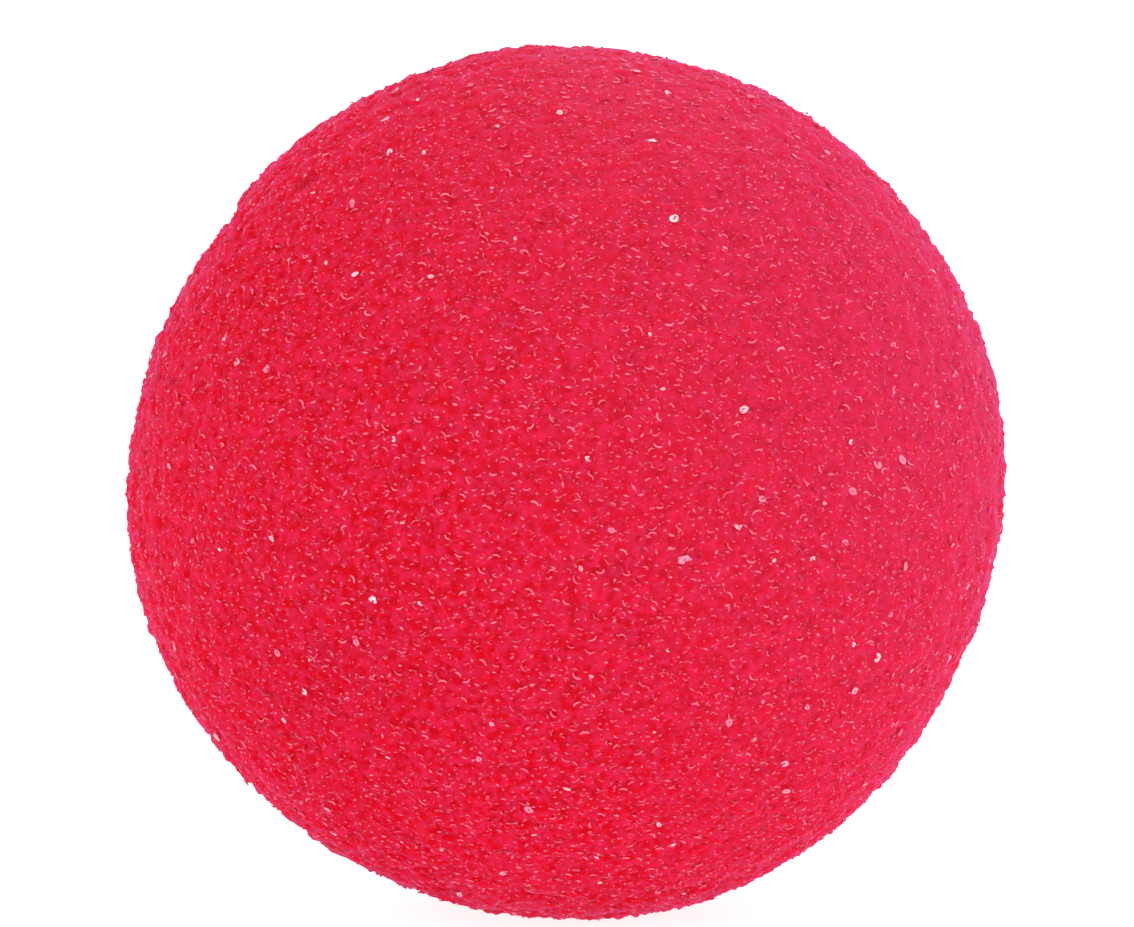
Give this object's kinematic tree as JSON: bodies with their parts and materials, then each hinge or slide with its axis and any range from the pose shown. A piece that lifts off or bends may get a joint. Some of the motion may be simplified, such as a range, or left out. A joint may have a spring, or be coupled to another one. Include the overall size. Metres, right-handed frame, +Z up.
{
  "type": "foam clown nose",
  "caption": "Soft red sponge ball worn over the nose, with a slit-like hollow in its back that the wearer's nose goes into.",
  "frame": {"origin": "on the small flat that the ball stands on, straight below the ball's centre", "axes": "+Z up, -Y out of the front of the nose, +Y out of the hollow's mouth at the back, towards the face, +X to the right of the front view"},
  "size_m": [0.0504, 0.0487, 0.0499],
  "materials": {
    "red_foam": "matte"
  },
  "bodies": {
    "root": {"foam_ball": "red_foam"}
  },
  "joints": []
}
